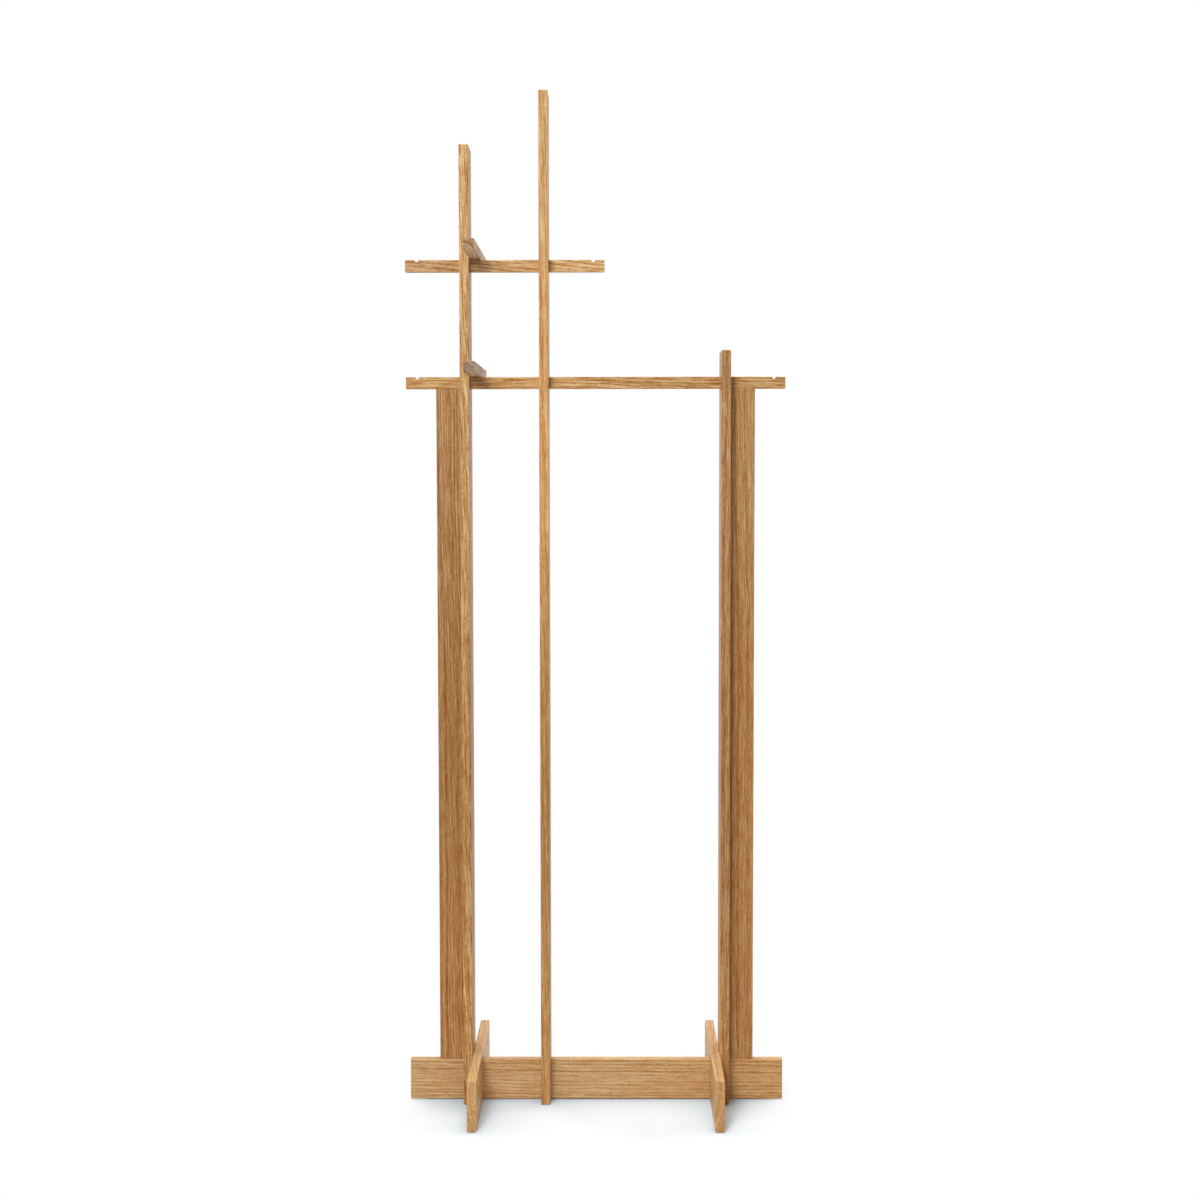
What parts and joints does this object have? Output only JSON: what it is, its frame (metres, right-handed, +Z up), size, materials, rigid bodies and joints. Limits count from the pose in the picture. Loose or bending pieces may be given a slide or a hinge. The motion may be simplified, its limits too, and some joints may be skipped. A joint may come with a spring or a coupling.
{
  "type": "clothes rack",
  "caption": "Free-standing clothes rack of lapped oak boards: posts of different heights on cross feet, with slotted rails and hanging arms.",
  "frame": {"origin": "on the floor, under the middle of the base board and midway between the front and back ends of the feet", "axes": "+X along the base board and rails towards the short post, +Y towards the back, +Z up along the posts"},
  "size_m": [0.7, 0.4, 1.872],
  "materials": {
    "oak_base": "oiled oak, satin",
    "oak_posts": "oiled oak, satin",
    "oak_panels": "oiled oak, satin",
    "oak_rails": "oiled oak, satin",
    "oak_arms": "oiled oak, satin",
    "beech_dowels": "raw beech, matte",
    "steel_screws": "zinc-plated steel"
  },
  "bodies": {
    "root": {"left_foot": "oak_base", "right_foot": "oak_base", "base_board": "oak_base", "left_post": "oak_posts", "middle_post": "oak_posts", "right_post": "oak_posts", "left_panel": "oak_panels", "right_panel": "oak_panels", "lower_rail": "oak_rails", "upper_rail": "oak_rails", "lower_arm": "oak_arms", "upper_arm": "oak_arms", "left_panel_edge_dowels": "beech_dowels", "right_panel_edge_dowels": "beech_dowels", "panel_base_dowels": "beech_dowels", "panel_rail_dowels": "beech_dowels", "foot_dowels": "beech_dowels", "arm_side_dowels": "beech_dowels", "arm_seat_dowels": "beech_dowels", "rail_screws": "steel_screws", "base_screws": "steel_screws"}
  },
  "joints": []
}
